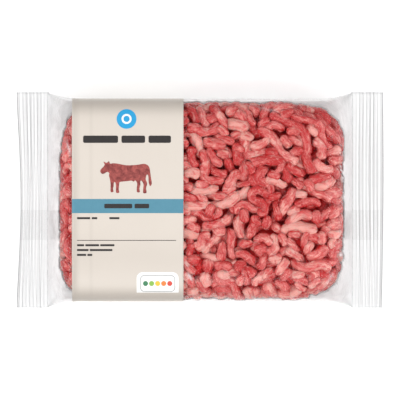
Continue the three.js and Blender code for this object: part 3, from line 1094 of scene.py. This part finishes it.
def back_seam():
    width = np.linspace(SEAM_FROM, SEAM_TO, SEAM_COLUMNS)
    x, y = grid(np.linspace(-SEAL_LINE, SEAL_LINE, SEAM_STATIONS), width)
    middle = np.stack([x, y, np.maximum(film_height(x, y, -1), FILM_LOWEST) + 0.05], -1)
    lapped = lap_material("lapped_film", 0.36, 0.41, 0.75)
    over_seal = lap_material("lapped_seal", 0.30, 0.36, 0.06)
    dress(sheet("back_seam", middle, 2 * LAP, lapped), "film")
    for side, name in ((-1, "back_seam_left"), (1, "back_seam_right")):
        u, y = grid(np.linspace(0, 1, SEAL_STEPS + 1), np.linspace(SEAM_FROM, SEAM_TO, SEAL_SEAM_COLUMNS))
        u = u if side > 0 else u[::-1]
        middle = seal_surface(side, u, y)
        dress(sheet(name, middle, SEAL_THICKNESS + LAP, over_seal), "film")


# The label, a band round the film, and its print, thin closed layers laid on it


def label_band():
    x = np.linspace(LABEL_FROM, LABEL_TO, LABEL_STATIONS)
    turn = 2 * math.pi * np.arange(ROUND) / ROUND
    outer = film_point(*grid(x, turn), -LABEL_OVER, 0.0).reshape(-1, 3)
    inner = film_point(*grid(x, turn), LABEL_SHEET - LABEL_OVER, 0.06).reshape(-1, 3)
    points = np.vstack([outer, inner])
    size = len(outer)
    outside = ring_faces(LABEL_STATIONS, ROUND)
    inside = ring_faces(LABEL_STATIONS, ROUND, size)[:, ::-1]
    around = np.arange(ROUND)
    following = (around + 1) % ROUND
    last = (LABEL_STATIONS - 1) * ROUND
    starts = np.stack([around, around + size, following + size, following], -1)
    ends = np.stack([last + around, last + following, last + following + size, last + around + size], -1)
    faces = np.vstack([outside, inside, starts, ends])
    # Painted shade: darker near the top where the label curves down to its long edges, and a little towards
    # its front side
    high = smoothstep(25, 34, points[:, 2])
    fold = high * (smoothstep(40, 50, points[:, 1]) + smoothstep(-42, -50, points[:, 1]))
    fold += 0.2 * high * smoothstep(-12, -30, points[:, 1])
    piece = mesh_object("label_band", points, faces.tolist(), paper_material(), {"fold": fold})
    dress(piece, "label")


def cut(build, place, way):
    """Cuts a flat outline by the plane at place with the normal way."""
    everything = build.verts[:] + build.edges[:] + build.faces[:]
    bmesh.ops.bisect_plane(build, geom=everything, plane_co=place, plane_no=way)


def ink_layer(build, outline, lift):
    """Adds an outline to build as a thin closed layer on the label's top, cut to follow its curve."""
    own = bmesh.new()
    own.faces.new([own.verts.new((x, y, 0)) for x, y in outline])
    bmesh.ops.triangulate(own, faces=own.faces[:])
    xs, ys = [p[0] for p in outline], [p[1] for p in outline]
    for y in np.arange(math.ceil(min(ys) / CUT_EVERY) * CUT_EVERY, max(ys), CUT_EVERY):
        cut(own, (0, float(y), 0), (0, 1, 0))
    for x in SHOULDER_CUTS:
        if min(xs) < x < max(xs):
            cut(own, (x, 0, 0), (1, 0, 0))
    bmesh.ops.triangulate(own, faces=own.faces[:])
    own.verts.index_update()
    own.faces.ensure_lookup_table()
    places = np.array([v.co for v in own.verts])
    top = film_height(places[:, 0], places[:, 1], 1) + LABEL_OVER + INK_HEIGHT + lift
    triangles = [[v.index for v in f.verts] for f in own.faces]
    border = [edge.link_loops[0] for edge in own.edges if len(edge.link_faces) == 1]
    rim = [(loop.vert.index, loop.link_loop_next.vert.index) for loop in border]
    upward = own.faces[0].normal.z > 0
    own.free()
    upper = [build.verts.new((x, y, z)) for (x, y, _), z in zip(places, top)]
    lower = [build.verts.new((x, y, z - INK_DEPTH)) for (x, y, _), z in zip(places, top)]
    way = 1 if upward else -1
    for a, b, c in triangles:
        build.faces.new((upper[a], upper[b], upper[c])[::way])
        build.faces.new((lower[c], lower[b], lower[a])[::way])
    for a, b in rim:
        build.faces.new((upper[b], upper[a], lower[a], lower[b])[::way])


def ink_piece(name, outlines, material, lift=0.0):
    """Printed outlines of one ink, lift above the label's lowest ink."""
    build = bmesh.new()
    for outline in outlines:
        ink_layer(build, outline, lift)
    for v in build.verts:
        v.co *= MM
    piece = built_object(name, build, material)
    piece.data.set_sharp_from_angle(angle=math.radians(40))
    dress(piece, "label")


def bar(left, right, low, high, radius, corners=(1, 1, 1, 1)):
    """A bar's outline. corners says which are round: lower right, upper right, upper left, lower left."""
    outline = []
    places = ((right, low, -90), (right, high, 0), (left, high, 90), (left, low, 180))
    for (x, y, start), round_it in zip(places, corners):
        if not round_it or not radius:
            outline.append((x, y))
            continue
        cx = x - radius if x == right else x + radius
        cy = y - radius if y == high else y + radius
        for step in range(7):
            angle = math.radians(start + 15 * step)
            outline.append((cx + radius * math.cos(angle), cy + radius * math.sin(angle)))
    return outline


def disc(x, y, radius, count=40):
    """A round outline."""
    angles = [2 * math.pi * i / count for i in range(count)]
    return [(x + radius * math.cos(a), y + radius * math.sin(a)) for a in angles]


def rounded_outline(points, parts=3):
    """A closed curve through points."""
    corners = np.array(points)
    line = curve_steps(*(np.roll(corners, shift, axis=0) for shift in (1, 0, -1, -2)), parts)
    return line.reshape(-1, 2)


def label_print():
    inks = {name: ink_material(name, colour) for name, colour in INKS.items()}
    ink_piece("print_stripe", [bar(LABEL_FROM + 0.05, LABEL_TO - 0.05, *STRIPE, 0)], inks["blue"])
    outer, ring, heart = DISC_RADII
    ink_piece("print_disc", [disc(*DISC_AT, outer)], inks["light_blue"])
    ink_piece("print_disc_ring", [disc(*DISC_AT, ring)], inks["white"], 0.05)
    ink_piece("print_disc_heart", [disc(*DISC_AT, heart)], inks["light_blue"], 0.10)
    ink_piece("print_title", [bar(a, b, *TITLE_LEVELS, 0.8) for a, b in TITLE_BARS], inks["dark"])
    ink_piece("print_cow", [(COW_PLACE + rounded_outline(COW)).tolist()], cow_material())
    stripe_bars = [bar(a, b, *STRIPE_LEVELS, 0.5) for a, b in STRIPE_BARS]
    ink_piece("print_stripe_line", stripe_bars, inks["dark"], 0.05)
    small = [bar(a, b, y - 0.5, y + 0.5, 0.25) for y, row in SMALL_BARS for a, b in row]
    ink_piece("print_small_lines", small, inks["dark"])
    ink_piece("print_thin_line", [bar(*THIN_LINE, 0)], inks["dark"])
    ink_piece("print_patch", [bar(*PATCH, (0, 1, 1, 0))], inks["white"])
    ink_piece("print_patch_rim", [bar(*PATCH_RIM)], inks["grey"], 0.05)
    ink_piece("print_patch_inside", [bar(*PATCH_INSIDE)], inks["white"], 0.10)
    x, y = DOTS_AT
    for i, (name, colour) in enumerate(DOT_INKS.items()):
        dot = disc(x + DOT_STEP * i, y, DOT_RADIUS, 28)
        ink_piece(f"print_dot_{name}", [dot], ink_material(name, colour), 0.15)


# The camera, light and floor


def camera():
    data = bpy.data.cameras.new("camera")
    data.sensor_width = SENSOR_WIDTH
    data.lens = SENSOR_WIDTH * (CAMERA_HEIGHT - BODY_HEIGHT * MM / 2) / PHOTO_SPAN
    eye = in_scene("camera", data)
    eye.location = (0, 0, CAMERA_HEIGHT)
    bpy.context.scene.camera = eye


def area_light(name, place, size, power):
    """A lamp that faces the pack."""
    data = bpy.data.lights.new(name, "AREA")
    data.shape = "RECTANGLE"
    data.size, data.size_y = size
    data.energy = power
    lamp = in_scene(name, data)
    lamp.location = place
    lamp.rotation_euler = (-Vector(place)).to_track_quat("-Z", "Y").to_euler()


def sky():
    """Light from all round, brighter with height and darker right above, which keeps the gloss calm."""
    world = bpy.data.worlds.new("studio")
    bpy.context.scene.world = world
    world.use_nodes = True
    tree = world.node_tree
    direction = tree.nodes.new("ShaderNodeTexCoord")
    height = tree.nodes.new("ShaderNodeSeparateXYZ")
    tree.links.new(direction.outputs["Generated"], height.inputs[0])
    bright = tree.nodes.new("ShaderNodeValToRGB")
    while len(bright.color_ramp.elements) < len(SKY):
        bright.color_ramp.elements.new(0.5)
    for element, (at, value) in zip(bright.color_ramp.elements, SKY):
        element.position = at
        element.color = (value, value, value, 1)
    tree.links.new(height.outputs["Z"], bright.inputs["Fac"])
    tree.links.new(bright.outputs["Color"], tree.nodes["Background"].inputs["Color"])
    tree.nodes["Background"].inputs["Strength"].default_value = SKY_STRENGTH


def floor():
    bpy.ops.mesh.primitive_plane_add(size=FLOOR_SIZE)
    ground = bpy.context.object
    ground.name = "floor"
    ground.data.materials.append(floor_material())


bpy.context.scene.view_settings.view_transform = "Standard"
camera()
sky()
for lamp in LAMPS:
    area_light(*lamp)
floor()
mince_core()
film_bag(mince_pieces())
end_seal(-1)
end_seal(1)
back_seam()
label_band()
label_print()
